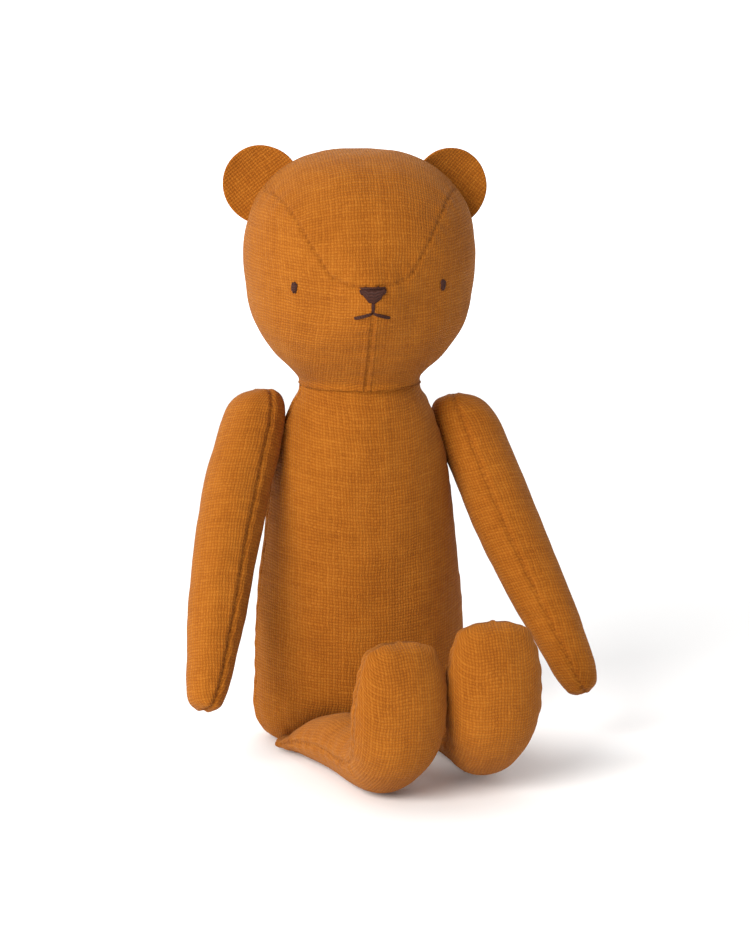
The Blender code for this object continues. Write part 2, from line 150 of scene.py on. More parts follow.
# Forehead gusset: its half width in mm at each angle round the head's middle, from the nose over
# the crown to the nape
GUSSET_CENTRE = 27.0 * MM
GUSSET_EDGE = (
    (-0.5, 1.2), (-0.2, 4.6), (4.3, 9.2), (14.4, 11.8), (24.0, 14.0), (36.0, 16.2), (49.0, 18.4),
    (66.0, 20.8), (86.0, 22.4), (118.0, 18.5), (150.0, 12.0), (178.0, 5.0), (200.0, 0.4),
)
CROWN_RADIUS = 27.0 * MM
GUSSET_BOW_RADIUS = 29.0 * MM

# Lines cast at the head start this far off, and one that misses it is taken to end at a stand-in
CAST_DISTANCE = 0.1
STAND_IN_DISTANCE = 0.02

# Ears
EAR_SPOT = {
    "right": (-22.3 * MM, 5.5 * MM, 46.9 * MM), "left": (21.6 * MM, 5.5 * MM, 45.6 * MM),
}
EAR_RADIUS = 9.4 * MM
EAR_HALF_THICKNESS = 3.2 * MM
EAR_CUP = 1.8 * MM
EAR_FRONT_SHARE = 0.62
EAR_RIM_FORWARD = 1.7 * MM
EAR_LEAN = math.radians(38.0)
EAR_TURN = math.radians(14.0)

# Face: places are (across, above the neck joint), and places and sizes are in mm, except for a
# thread's radius. Wobbles keep the stitches from being all alike.
EYE_PLACE = (17.3, 25.7)
EYE_HALF_SIZE = (0.55, 1.5)
EYE_STRANDS = 6
EYE_ROUNDNESS = 0.82
EYE_WOBBLE = 0.12
NOSE_TOP = 26.8
NOSE_BOTTOM = 22.7
NOSE_HALF_WIDTH = 3.1
NOSE_STRANDS = 22
NOSE_WOBBLE = 0.1
NOSE_ROUND_TOP = 0.9
NOSE_NARROWING = 0.82
NOSE_LEAST_LENGTH = 1.2
NOSE_BAR_DROP = 0.35
MOUTH_TOP = (0.0, 20.6)
MOUTH_CORNER = (4.3, 19.2)
CHIN_OVERLAP = 0.6
LONG_STITCH_OFFSET = 0.17
THREAD_RADIUS = 0.2 * MM
STRAND_SIDES = 8
STRAND_TIP = 0.45
STRAND_TAPER = 2.2
POINTS_PER_TWIST = 3.0

# Arms: half widths and heights in mm about the shoulder, from its top to the tip
ARM_SWING = {"right": math.radians(25.5), "left": math.radians(24.5)}
ARM_GAP = 0.9 * MM
ARM_HALF_WIDTH = 7.8 * MM
ARM_OUTLINE = (
    (0.0, 8.6), (4.8, 7.4), (7.2, 2.6), (7.7, -8.0), (7.8, -19.0), (7.4, -33.0),
    (6.7, -47.0), (5.7, -57.5), (4.9, -64.0), (3.4, -68.4), (0.0, -69.6),
)
ARM_LENGTH = 69.6 * MM
ARM_BOW = {-1: 0.8 * MM, 1: -0.6 * MM}
ARM_BOW_SPAN = 1.45 * math.pi
ARM_TOP_RISE = {-1: 1.1 * MM, 1: 0.0}
ARM_RISE_LENGTH = 8.0 * MM
ARM_TOP_SLANT = 0.36
ARM_SLANT_START = 10.0 * MM
ARM_SLANT_LENGTH = 15.0 * MM
ARM_SEAM_TURN = math.radians(19.0)
SHOULDER_SWELL = 0.55 * MM
SHOULDER_SWELL_SIZE = 9.0 * MM

# Legs: distance forward, height, half thickness and half width in mm from the hip to the toe
LEG_RAISE = {"right": 0.0, "left": math.radians(2.9)}
LEG_EXTRA_TURN = math.radians(0.8)
LEG_STATIONS = (
    (0.0, 0.0, 0.0, 0.0), (0.4, 0.0, 1.2, 8.2), (5.0, 1.1, 2.6, 8.3), (13.0, 3.7, 5.0, 8.0),
    (25.0, 5.6, 6.9, 7.6), (37.0, 6.0, 7.3, 7.8), (46.0, 7.4, 7.9, 8.8), (52.2, 12.0, 7.9, 10.2),
    (54.8, 19.0, 7.4, 11.1), (55.4, 26.0, 6.4, 10.8), (55.2, 31.6, 4.9, 9.4),
    (54.9, 35.2, 3.2, 7.0), (54.8, 36.8, 0.0, 0.0),
)
LEG_DIRECTION_STEP = 0.01

# Creases over the ankle: distance forward of the hip, depth and width
ANKLE_CREASES = (
    (40.0 * MM, 0.45 * MM, 1.6 * MM), (44.5 * MM, 0.7 * MM, 1.9 * MM),
    (33.0 * MM, 0.25 * MM, 2.0 * MM),
)
CREASE_WANDER = 0.9 * MM
CREASE_WANDER_SIZE = 7.0 * MM
CREASE_SEED = 61

# Hips: a flat fold of cloth at each, from behind the fold line to in front of it
HEM_HALF_WIDTH = 7.4 * MM
HEM_HALF_THICKNESS = 1.0 * MM
HEM_BACK = 4.5 * MM
HEM_FRONT = 5.5 * MM
HEM_AROUND = 32.0 * MM
HEM_DOWN = 12.0 * MM

# Linen's weave: how far threads wander, in threads, and how often; their slubs, roundness and rise;
# the depth of the relief; and the strength and colour of the painted shade along seams, and the
# colours, from dark to light
WEAVE_WAVER = 0.8
WEAVE_WAVER_SCALE = 0.12
THREAD_JITTER = 0.14
THREAD_JITTER_SCALE = 0.9
SLUB_SCALE = 0.22
THREAD_ROUNDNESS = 0.7
THREAD_RISE = 0.42
THREAD_CROSSOVER = 0.08
WEAVE_RELIEF = 0.24 * MM
# Painted shade along seams: how strongly it darkens the linen, and the brown it darkens towards
SEAM_SHADE_STRENGTH = 0.45
SEAM_SHADE_COLOUR = (0.34, 0.26, 0.2, 1.0)
# From the painted shade between threads, through the linen's own tones, to the painted highlight on
# their tops
LINEN_COLOURS = (
    (0.16, (0.100, 0.024, 0.0006)),
    (0.42, (0.205, 0.054, 0.0022)),
    (0.62, (0.282, 0.081, 0.0042)),
    (0.90, (0.370, 0.124, 0.0110)),
)

# Colours of the embroidery thread, the filling and the nylon discs, from dark to light. The dark ends
# of the thread's and the filling's colours are painted shade in their hollows.
THREAD_COLOURS = (
    (0.15, (0.010, 0.0025, 0.0015)), (0.5, (0.034, 0.009, 0.005)), (0.9, (0.085, 0.026, 0.015)))
FIBRE_COLOURS = ((0.1, (0.58, 0.56, 0.52)), (0.5, (0.8, 0.79, 0.76)), (0.9, (0.93, 0.92, 0.9)))
NYLON_COLOURS = ((0.3, (0.68, 0.66, 0.58)), (0.7, (0.82, 0.81, 0.76)))

# Camera and studio
CAMERA_TURN = math.radians(-16.3)
CAMERA_RISE = math.radians(11.3)
CAMERA_DISTANCE = 0.87
CAMERA_TARGET = (3.8 * MM, 22.8 * MM, 64.6 * MM)
CAMERA_LENS = 93.0
CAMERA_SENSOR_HEIGHT = 24.0
FLOOR_HALF_SIZE = 0.5
PAPER_COLOUR = (0.94, 0.94, 0.94, 1.0)
BACKDROP = (("From Min", -0.1), ("From Max", 0.6), ("To Min", 0.46), ("To Max", 1.7))
LIGHT_PLACE = (-0.95, -0.72, 0.62)
LIGHT_TARGET = (0.0, 0.0, 0.07)
LIGHT_SIZE = 0.9
LIGHT_POWER = 25.0
LIGHT_COLOUR = (1.0, 0.98, 0.95)


# Smooth curves and noise

def smooth_curve(points, shares):
    """Points at the given shares (0 to 1) of a smooth curve through the given points."""
    points = np.asarray(points, float)
    last = len(points) - 1
    place = np.clip(np.asarray(shares, float), 0.0, 1.0) * last
    index = np.minimum(place.astype(int), last - 1)
    u = (place - index)[..., None]
    before, start = points[np.maximum(index - 1, 0)], points[index]
    end, after = points[index + 1], points[np.minimum(index + 2, last)]
    return 0.5 * (
        2 * start + (end - before) * u + (2 * before - 5 * start + 4 * end - after) * u**2
        + (3 * start - before - 3 * end + after) * u**3)


def smooth_step(share):
    share = np.clip(share, 0.0, 1.0)
    return share * share * (3.0 - 2.0 * share)


def bump(distance, width):
    return np.exp(-((distance / width) ** 2))


def noise_at(points, scale, seed):
    """Smooth noise from about -1 to 1 at points in metres; scale is the size of its lumps."""
    shift = Vector((seed * 7.31, seed * 3.17, seed * 5.71))
    flat = points.reshape(-1, 3) / scale
    values = [lattice.noise(Vector(point) + shift) for point in flat]
    return np.array(values).reshape(points.shape[:-1])


def points_at(x, y, z):
    return np.stack(np.broadcast_arrays(x, y, z), -1)


# Forms: each takes arrays of turn and share and gives points in its own frame

def torso_form(turn, share):
    outline = smooth_curve(TORSO_OUTLINE, share) * MM
    half_width, height = outline[..., 0], np.clip(outline[..., 1], 0.2 * MM, TORSO_HEIGHT)
    ratio = SEAT_DEPTH_RATIO + (NECK_DEPTH_RATIO - SEAT_DEPTH_RATIO) * height / TORSO_HEIGHT
    x = half_width * np.cos(turn)
    y = half_width * ratio * np.sin(turn)
    forward = smooth_step((-y - HEM_LIFT_START) / HEM_LIFT_LENGTH)
    low = np.clip(1.0 - height / HEM_LIFT_HEIGHT, 0.0, 1.0)
    return points_at(x, y, height + HEM_LIFT * forward * low**2)


def head_form(turn, share):
    outline = smooth_curve(HEAD_OUTLINE, share) * MM
    half_width, height = np.maximum(outline[..., 0], 0.0), np.maximum(outline[..., 1], 0.0)
    x = half_width * np.cos(turn)
    y = half_width * HEAD_DEPTH_RATIO * np.sin(turn)
    off_centre = (x / SNOUT_SPREAD) ** 2 + ((height - SNOUT_HEIGHT) / SNOUT_SPREAD) ** 2
    y = np.where(y < 0.0, y - SNOUT_REACH * np.exp(-off_centre), y)
    return points_at(x, y, height)


def arm_form(side):
    def form(turn, share):
        outline = smooth_curve(ARM_OUTLINE, share) * MM
        radius, height = outline[..., 0], outline[..., 1]
        across = radius * np.cos(turn)
        bow = ARM_BOW[side] * np.sin(ARM_BOW_SPAN * np.clip(-height / ARM_LENGTH, 0.0, 1.0))
        near_top = smooth_step((height + ARM_SLANT_START) / ARM_SLANT_LENGTH)
        slant = ARM_TOP_SLANT * side * across * near_top
        height = height + ARM_TOP_RISE[side] * smooth_step(height / ARM_RISE_LENGTH)
        x = side * (ARM_GAP + ARM_HALF_WIDTH + bow) + across
        return points_at(x, radius * np.sin(turn), height - slant)
    return form


def leg_form(turn, share):
    station = smooth_curve(LEG_STATIONS, share) * MM
    ahead = smooth_curve(LEG_STATIONS, share + LEG_DIRECTION_STEP)
    behind = smooth_curve(LEG_STATIONS, share - LEG_DIRECTION_STEP)
    along = ahead[..., :2] - behind[..., :2]
    along = along / np.linalg.norm(along, axis=-1, keepdims=True)
    across = station[..., 2] * np.sin(turn)
    return points_at(
        station[..., 3] * np.cos(turn),
        -(station[..., 0] - across * along[..., 1]),
        station[..., 1] + across * along[..., 0])


def ear_form(turn, share):
    polar = math.pi * share
    x = EAR_RADIUS * np.sin(polar) * np.cos(turn)
    z = EAR_RADIUS * np.cos(polar)
    y = EAR_HALF_THICKNESS * np.sin(polar) * np.sin(turn)
    y = np.where(y < 0.0, EAR_FRONT_SHARE * y, y)
    rim = np.clip((x * x + z * z) / EAR_RADIUS**2, 0.0, 1.0)
    return points_at(x, y + EAR_CUP * (1.0 - rim) - EAR_RIM_FORWARD * rim**2, z)


# Cloth pieces

class Cloth:
    """A linen cover as a grid of rings: the rows follow down the form, and the columns round it."""

    def __init__(self, form, around, rows):
        self.form = form
        self.turns = np.arange(around) * math.tau / around
        self.shares = self.even_shares(rows)
        self.points = form(self.turns[None, :], self.shares[:, None])
        self.rest = self.points.copy()
        self.shade = np.zeros(self.points.shape[:2])
        self.normals = self.outward()

    def even_shares(self, rows):
        """Shares at even distances down the form's front and side, without its two ends."""
        fine = np.linspace(0.0, 1.0, FINE_STEPS)
        lengths = sum(
            np.linalg.norm(np.diff(self.form(np.full(FINE_STEPS, turn), fine), axis=0), axis=1)
            for turn in (0.0, FRONT))
        total = np.concatenate([[0.0], np.cumsum(lengths)])
        wanted = np.linspace(0.0, total[-1], rows + 2)[1:-1]
        return np.interp(wanted, total, fine)

    def outward(self):
        around = np.roll(self.points, -1, 1) - np.roll(self.points, 1, 1)
        down = np.gradient(self.points, axis=0)
        normals = np.cross(down, around)
        normals /= np.maximum(np.linalg.norm(normals, axis=-1, keepdims=True), 1e-12)
        away = self.points - self.points.mean(axis=1, keepdims=True)
        middle = len(self.shares) // 2
        if (normals[middle] * away[middle]).sum() < 0.0:
            normals = -normals
        return normals

    def push(self, amount):
        """Moves the cloth out along its own normals, in metres."""
        self.points = self.points + self.normals * amount[..., None]

    def around_from(self, centre_turn):
        """Distance round each row from the column at a turn."""
        steps = np.linalg.norm(np.roll(self.rest, -1, 1) - self.rest, axis=-1)
        total = np.cumsum(steps, axis=1) - steps
        length = steps.sum(axis=1, keepdims=True)
        column = int(round((centre_turn % math.tau) / math.tau * len(self.turns))) % len(self.turns)
        distance = total - total[:, column:column + 1]
        return (distance + length / 2.0) % length - length / 2.0

    def down_from_top(self):
        steps = np.linalg.norm(np.diff(self.rest, axis=0), axis=-1)
        return np.concatenate([np.zeros((1, len(self.turns))), np.cumsum(steps, axis=0)])

    def seam_field(self, seam):
        """Distance from the seam, and distance along it, for each point of the cloth."""
        lengths = np.linalg.norm(np.diff(seam, axis=0), axis=1)
        along = np.concatenate([[0.0], np.cumsum(lengths)])
        tree = kdtree.KDTree(len(seam))
        for index, point in enumerate(seam):
            tree.insert(point, index)
        tree.balance()
        flat = self.rest.reshape(-1, 3)
        found = [tree.find(point) for point in flat]
        distance = np.array([item[2] for item in found]).reshape(self.rest.shape[:2])
        where = np.array([along[item[1]] for item in found]).reshape(self.rest.shape[:2])
        return distance, where

    def sew(self, seam, depth=0.45 * MM, width=0.55 * MM, ridge=0.16 * MM, shade=1.0):
        """Draws the cloth in along a seam, with pulled stitches, a soft ridge and small puckers, and
        paints shade along its stitch line.
        """
        distance, along = self.seam_field(seam)
        stitches = np.cos(math.tau * along / STITCH_LENGTH)
        pull = 1.0 - STITCH_PULL + STITCH_PULL * stitches
        groove = -depth * pull * bump(distance, width)
        side_ridge = ridge * bump(distance - RIDGE_PLACE * width, RIDGE_WIDTH * width)
        wander = PUCKER_WANDER * noise_at(self.rest, PUCKER_WANDER_SIZE, PUCKER_SEED)
        ripple = np.cos(math.tau * along / PUCKER_LENGTH + wander)
        beside = bump(distance, PUCKER_REACH) * (1.0 - bump(distance, PUCKER_GAP * width))
        self.push(groove + side_ridge + PUCKER_HEIGHT * ripple * beside)
        # Painted shade along the stitch line, deeper at each stitch, kept for the linen's colour
        painted_shade = shade * (1.0 - STITCH_SHADE + STITCH_SHADE * stitches)
        self.shade = np.maximum(self.shade, painted_shade * bump(distance, SEAM_SHADE_WIDTH))

    def sew_down(self, turn, seam, **sewing):
        """Sews a seam down the untouched form at one turn, between two shares."""
        first, last, steps = seam
        self.sew(self.form(np.full(steps, turn), np.linspace(first, last, steps)), **sewing)

    def stuff(self, seed, large, small):
        """Uneven filling: large soft lumps with smaller ones over them."""
        self.push(
            large * noise_at(self.rest, LUMP_SIZE, seed)
            + small * noise_at(self.rest, SMALL_LUMP_SIZE, seed + 1))

    def gather(self, gathers, distance, side=0):
        """Fine folds that fade with distance from an edge where the cloth is drawn in."""
        height, stretch, size, reach, seed = gathers
        folds = noise_at(self.rest * np.array(stretch), size, seed + side)
        self.push(height * folds * bump(distance, reach))

    def faces_near(self, turn, limit=math.pi / 2.0):
        """Which faces have their middle within an angle of a turn, as a mask over the grid."""
        middle = self.turns + math.pi / len(self.turns)
        near = np.cos(middle - turn) > math.cos(limit)
        return np.broadcast_to(near, self.points.shape[:2])

    def build(self, name, panels, matrix, material):
        """Makes the object. A panel is (mask, u, v): its faces and its cloth coordinates in metres."""
        rows, columns = self.points.shape[:2]
        top, bottom = self.points[0].mean(axis=0), self.points[-1].mean(axis=0)
        vertices = np.concatenate([self.points.reshape(-1, 3), [top, bottom]])
        grid = np.arange(rows * columns).reshape(rows, columns)
        here, right = grid[:-1], np.roll(grid, -1, 1)[:-1]
        under, under_right = grid[1:], np.roll(grid, -1, 1)[1:]
        quads = np.stack([here, under, under_right, right], -1).reshape(-1, 4)
        faces = [tuple(quad) for quad in quads.tolist()]
        top_index, bottom_index = rows * columns, rows * columns + 1
        for j in range(columns):
            k = (j + 1) % columns
            faces.append((int(grid[0, j]), int(grid[0, k]), top_index))
            faces.append((int(grid[-1, k]), int(grid[-1, j]), bottom_index))
        mesh = bpy.data.meshes.new(name)
        mesh.from_pydata(vertices.tolist(), [], faces)
        mesh.update()
        self.lay_weave(mesh, panels, columns)
        inside = mesh.vertices[0].co
        volume = sum(face.normal.dot(face.center - inside) * face.area for face in mesh.polygons)
        if volume < 0.0:
            mesh.flip_normals()
        mesh.polygons.foreach_set("use_smooth", [True] * len(mesh.polygons))
        piece = bpy.data.objects.new(name, mesh)
        bpy.context.scene.collection.objects.link(piece)
        piece.matrix_world = matrix
        mesh.materials.append(material)
        return piece

    def lay_weave(self, mesh, panels, columns):
        """Cloth coordinates, in threads, for every face corner, and the painted shade along seams at
        every point.
        """
        loops = np.empty(len(mesh.loops), int)
        mesh.loops.foreach_get("vertex_index", loops)
        face_of_loop = np.repeat(
            np.arange(len(mesh.polygons)), [polygon.loop_total for polygon in mesh.polygons])
        quad_count = (len(self.shares) - 1) * columns
        uv = np.zeros((len(loops), 2))
        clipped = np.minimum(loops, len(self.shares) * columns - 1)
        cell = np.minimum(face_of_loop, quad_count - 1)
        for mask, u, v in panels:
            chosen = mask[:-1].reshape(-1)[cell]
            uv[chosen, 0] = u.reshape(-1)[clipped[chosen]] / THREAD_PITCH
            uv[chosen, 1] = v.reshape(-1)[clipped[chosen]] / THREAD_PITCH
        layer = mesh.uv_layers.new(name="cloth")
        layer.data.foreach_set("uv", uv.reshape(-1))
        # The painted shade along seams, stored for the linen's colour
        depth = mesh.attributes.new("painted_seam_shade", "FLOAT", "POINT")
        depth.data.foreach_set("value", np.append(self.shade.reshape(-1), [0.0, 0.0]))


def half_panels(cloth):
    """A front and a back panel that meet at the two side seams."""
    front = cloth.faces_near(FRONT)
    down = cloth.down_from_top()
    return [
        (front, cloth.around_from(FRONT), down),
        (~front, cloth.around_from(BACK), down + BACK_PANEL_SHIFT),
    ]


# Node helpers and materials

class Nodes:
    """Short ways to add and join shader nodes."""

    def __init__(self, name):
        self.material = bpy.data.materials.new(name)
        self.material.use_nodes = True
        self.tree = self.material.node_tree
        self.shader = self.tree.nodes["Principled BSDF"]

    def feed(self, socket, value):
        if isinstance(value, bpy.types.NodeSocket):
            self.tree.links.new(value, socket)
        elif value is not None:
            socket.default_value = value

    def math(self, operation, first, second=None, third=None):
        node = self.tree.nodes.new("ShaderNodeMath")
        node.operation = operation
        for socket, value in zip(node.inputs, (first, second, third)):
            self.feed(socket, value)
        return node.outputs[0]

    def times(self, first, second):
        return self.math("MULTIPLY", first, second)

    def add(self, first, second):
        return self.math("ADD", first, second)

    def choose(self, share, first, second):
        """The first value where share is 1, and the second where it is 0."""
        return self.add(self.times(share, self.math("SUBTRACT", first, second)), second)

    def cloth_places(self):
        """The cloth coordinates: both together, then u and v."""
        uv = self.tree.nodes.new("ShaderNodeUVMap")
        uv.uv_map = "cloth"
        split = self.tree.nodes.new("ShaderNodeSeparateXYZ")
        self.feed(split.inputs[0], uv.outputs[0])
        return uv.outputs[0], split.outputs[0], split.outputs[1]

    def noise(self, vector, scale, detail=2.0):
        node = self.tree.nodes.new("ShaderNodeTexNoise")
        self.feed(node.inputs["Vector"], vector)
        self.feed(node.inputs["Scale"], scale)
        self.feed(node.inputs["Detail"], detail)
        return node.outputs["Fac"]

    def waver(self, vector, scale, amount):
        """Noise from minus an amount to plus that amount."""
        return self.spread(self.noise(vector, scale), 0.0, 1.0, -amount, amount)

    def white(self, value):
        node = self.tree.nodes.new("ShaderNodeTexWhiteNoise")
        node.noise_dimensions = "1D"
        self.feed(node.inputs["W"], value)
        return node.outputs["Value"]

    def join(self, x, y, z=0.0):
        node = self.tree.nodes.new("ShaderNodeCombineXYZ")
        for socket, value in zip(node.inputs, (x, y, z)):
            self.feed(socket, value)
        return node.outputs[0]

    def spread(self, value, low, high, new_low, new_high, smooth=False):
        node = self.tree.nodes.new("ShaderNodeMapRange")
        node.interpolation_type = "SMOOTHSTEP" if smooth else "LINEAR"
        for index, item in enumerate((value, low, high, new_low, new_high)):
            self.feed(node.inputs[index], item)
        return node.outputs[0]

    def ramp(self, value, stops):
        node = self.tree.nodes.new("ShaderNodeValToRGB")
        self.feed(node.inputs[0], value)
        while len(node.color_ramp.elements) < len(stops):
            node.color_ramp.elements.new(0.5)
        for element, (position, colour) in zip(node.color_ramp.elements, stops):
            element.position = position
            element.color = (*colour, 1.0)
        return node.outputs[0]

    def bump(self, height, distance, strength):
        node = self.tree.nodes.new("ShaderNodeBump")
        self.feed(node.inputs["Height"], height)
        node.inputs["Distance"].default_value = distance
        node.inputs["Strength"].default_value = strength
        self.feed(self.shader.inputs["Normal"], node.outputs[0])


def linen_material():
    """Plain-woven ochre linen: warp and weft pass over each other, with slubs and fibres. Its colour
    has painted shade between the threads and painted highlight on their raised tops.
    """
    nodes = Nodes("ochre_linen")
    uv, plain_u, plain_v = nodes.cloth_places()
    wave_u = nodes.waver(uv, WEAVE_WAVER_SCALE, WEAVE_WAVER)
    wave_v = nodes.waver(nodes.join(plain_v, plain_u, 4.0), WEAVE_WAVER_SCALE, WEAVE_WAVER)
    jitter = nodes.waver(uv, THREAD_JITTER_SCALE, THREAD_JITTER)
    u = nodes.add(nodes.add(plain_u, wave_u), jitter)
    v = nodes.add(nodes.add(plain_v, wave_v), jitter)

    warp_id, weft_id = nodes.math("FLOOR", u), nodes.math("FLOOR", v)
    warp_tone = nodes.white(warp_id)
    weft_tone = nodes.white(nodes.add(weft_id, 317.5))
    warp_slub = nodes.noise(nodes.join(nodes.times(warp_id, 7.3), nodes.times(v, SLUB_SCALE)), 1.0)
    weft_slub = nodes.noise(nodes.join(nodes.times(u, SLUB_SCALE), nodes.times(weft_id, 5.9)), 1.0)

    sine_u = nodes.math("SINE", nodes.times(u, math.pi))
    sine_v = nodes.math("SINE", nodes.times(v, math.pi))
    over = nodes.times(sine_u, sine_v)
    heights = []
    for sine, slub, rise in ((sine_u, warp_slub, THREAD_RISE), (sine_v, weft_slub, -THREAD_RISE)):
        rounded = nodes.math("POWER", nodes.math("ABSOLUTE", sine), THREAD_ROUNDNESS)
        lift = nodes.math("MULTIPLY_ADD", over, rise, nodes.spread(slub, 0.25, 0.75, 0.36, 0.66))
        heights.append(nodes.times(rounded, lift))
    woven = nodes.math("MAXIMUM", *heights)
    warp_on_top = nodes.spread(
        nodes.math("SUBTRACT", *heights), -THREAD_CROSSOVER, THREAD_CROSSOVER, 0.0, 1.0, True)

    warp_fibre = nodes.noise(nodes.join(nodes.times(u, 6.0), nodes.times(v, 1.1)), 1.0, 3.0)
    weft_fibre = nodes.noise(nodes.join(nodes.times(u, 1.1), nodes.times(v, 6.0), 5.0), 1.0, 3.0)
    fibre = nodes.choose(warp_on_top, warp_fibre, weft_fibre)
    tone = nodes.choose(warp_on_top, warp_tone, weft_tone)
    slub = nodes.choose(warp_on_top, warp_slub, weft_slub)
    cloud = nodes.noise(uv, 0.07, 3.0)

    # The threads' heights paint shade in the gaps between them and highlight on their tops; tone,
    # slubs, fibres and cloud are the linen's own
    shade = nodes.times(woven, 0.42)
    for part, share in ((tone, 0.12), (slub, 0.2), (fibre, 0.24), (cloud, 0.3)):
        shade = nodes.math("MULTIPLY_ADD", part, share, shade)
    # Painted shade along seams: the colour is multiplied towards a brown there
    depth = nodes.tree.nodes.new("ShaderNodeAttribute")
    depth.attribute_name = "painted_seam_shade"
    dim = nodes.tree.nodes.new("ShaderNodeMix")
    dim.data_type = "RGBA"
    dim.blend_type = "MULTIPLY"
    nodes.feed(dim.inputs["Factor"], nodes.times(depth.outputs["Fac"], SEAM_SHADE_STRENGTH))
    nodes.feed(dim.inputs["A"], nodes.ramp(shade, LINEN_COLOURS))
    dim.inputs["B"].default_value = SEAM_SHADE_COLOUR
    nodes.feed(nodes.shader.inputs["Base Color"], dim.outputs["Result"])
    nodes.feed(nodes.shader.inputs["Roughness"], nodes.spread(fibre, 0.0, 1.0, 0.98, 0.74))
    nodes.shader.inputs["Sheen Weight"].default_value = 0.08
    nodes.shader.inputs["Sheen Roughness"].default_value = 0.55
    nodes.shader.inputs["Sheen Tint"].default_value = (1.0, 0.72, 0.38, 1.0)
    nodes.shader.inputs["Specular IOR Level"].default_value = 0.12
    nodes.bump(nodes.math("MULTIPLY_ADD", fibre, 0.22, woven), WEAVE_RELIEF, 0.8)
    return nodes.material


def thread_material():
    """Stranded embroidery thread: fine plies along each stitch, with a slight lustre. The colour is
    darker in the grooves between plies, as painted shade.
    """
    nodes = Nodes("brown_thread")
    _, u, v = nodes.cloth_places()
    twist = nodes.math("MULTIPLY_ADD", v, 2.2, nodes.times(u, 3.0))
    ply = nodes.math("ABSOLUTE", nodes.math("SINE", nodes.times(twist, math.pi)))
    fleck = nodes.noise(nodes.join(nodes.times(u, 6.0), v), 1.5, 3.0)
    # Painted shade: the plies darken in their grooves and lighten on their crests; the flecks are the
    # thread's own
    shade = nodes.math("MULTIPLY_ADD", ply, 0.5, nodes.times(fleck, 0.5))
    nodes.feed(nodes.shader.inputs["Base Color"], nodes.ramp(shade, THREAD_COLOURS))
    nodes.feed(nodes.shader.inputs["Roughness"], nodes.spread(fleck, 0.0, 1.0, 0.75, 0.45))
    nodes.shader.inputs["Specular IOR Level"].default_value = 0.2
    nodes.bump(nodes.math("MULTIPLY_ADD", fleck, 0.3, ply), 0.06 * MM, 0.7)
    return nodes.material


def fibre_material():
    """Loose white polyester fibre, matted in long fine strands. Its colour is darker in the hollows
    between strands, as painted shade.
    """
    nodes = Nodes("polyester_fibre")
    coordinates = nodes.tree.nodes.new("ShaderNodeTexCoord").outputs["Object"]
    swirl = nodes.tree.nodes.new("ShaderNodeTexNoise")
    nodes.feed(swirl.inputs["Vector"], coordinates)
    swirl.inputs["Scale"].default_value = 180.0
    swirl.inputs["Distortion"].default_value = 2.5
    swirl.inputs["Detail"].default_value = 4.0
    strands = nodes.tree.nodes.new("ShaderNodeTexWave")
    nodes.feed(strands.inputs["Vector"], coordinates)
    strands.inputs["Scale"].default_value = 900.0
    strands.inputs["Distortion"].default_value = 14.0
    strands.inputs["Detail"].default_value = 4.0
    strands.inputs["Detail Scale"].default_value = 2.0
    # Painted shade: the pattern that raises the strands also darkens the hollows between them
    half_swirl = nodes.times(swirl.outputs["Fac"], 0.5)
    shade = nodes.math("MULTIPLY_ADD", strands.outputs["Fac"], 0.5, half_swirl)
    nodes.feed(nodes.shader.inputs["Base Color"], nodes.ramp(shade, FIBRE_COLOURS))
    nodes.feed(nodes.shader.inputs["Roughness"], nodes.spread(shade, 0.0, 1.0, 0.95, 0.7))
    nodes.shader.inputs["Sheen Weight"].default_value = 0.4
    nodes.bump(shade, 0.5 * MM, 0.8)
    return nodes.material


def plastic_material():
    """Natural moulded nylon, a little cloudy, with the fine texture of its mould."""
    nodes = Nodes("natural_nylon")
    coordinates = nodes.tree.nodes.new("ShaderNodeTexCoord").outputs["Object"]
    cloud = nodes.noise(coordinates, 260.0, 3.0)
    grain = nodes.noise(coordinates, 5200.0, 2.0)
    nodes.feed(nodes.shader.inputs["Base Color"], nodes.ramp(cloud, NYLON_COLOURS))
    nodes.feed(nodes.shader.inputs["Roughness"], nodes.spread(grain, 0.3, 0.7, 0.36, 0.52))
    nodes.shader.inputs["Subsurface Weight"].default_value = 0.15
    nodes.shader.inputs["Subsurface Scale"].default_value = 0.6 * MM
    nodes.bump(grain, 0.03 * MM, 0.4)
    return nodes.material


LINEN = linen_material()
BROWN_THREAD = thread_material()
FIBRE = fibre_material()
NYLON = plastic_material()


# Where each body's own frame stands

def joint_place(name):
    return Matrix.Translation(Vector(JOINTS[name]["pos_m"]))


TORSO_FRAME = Matrix.Translation((0.0, JOINTS["neck"]["pos_m"][1], 0.0))
HEAD_FRAME = joint_place("neck") @ Matrix.Rotation(HEAD_TURN, 4, "Z")


def arm_frame(side_name, side):
    slope = math.asin(abs(JOINTS[f"{side_name}_shoulder"]["axis"][2]))
    return (
        joint_place(f"{side_name}_shoulder")
        @ Matrix.Rotation(-side * slope, 4, "Y") @ Matrix.Rotation(-ARM_SWING[side_name], 4, "X"))


def leg_frame(side_name):
    axis = JOINTS[f"{side_name}_hip"]["axis"]
    yaw = math.atan2(axis[1], axis[0]) - SIDES[side_name] * LEG_EXTRA_TURN
    return (
        joint_place(f"{side_name}_hip")
        @ Matrix.Rotation(yaw, 4, "Z") @ Matrix.Rotation(-LEG_RAISE[side_name], 4, "X"))


def finish_cover(piece, body, nodes):
    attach(piece, body)
    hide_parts(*nodes)


# Covers

def cloth_for(form, around, down):
    return Cloth(form, 2 * int(around / GRID_STEP / 2), int(down / GRID_STEP))


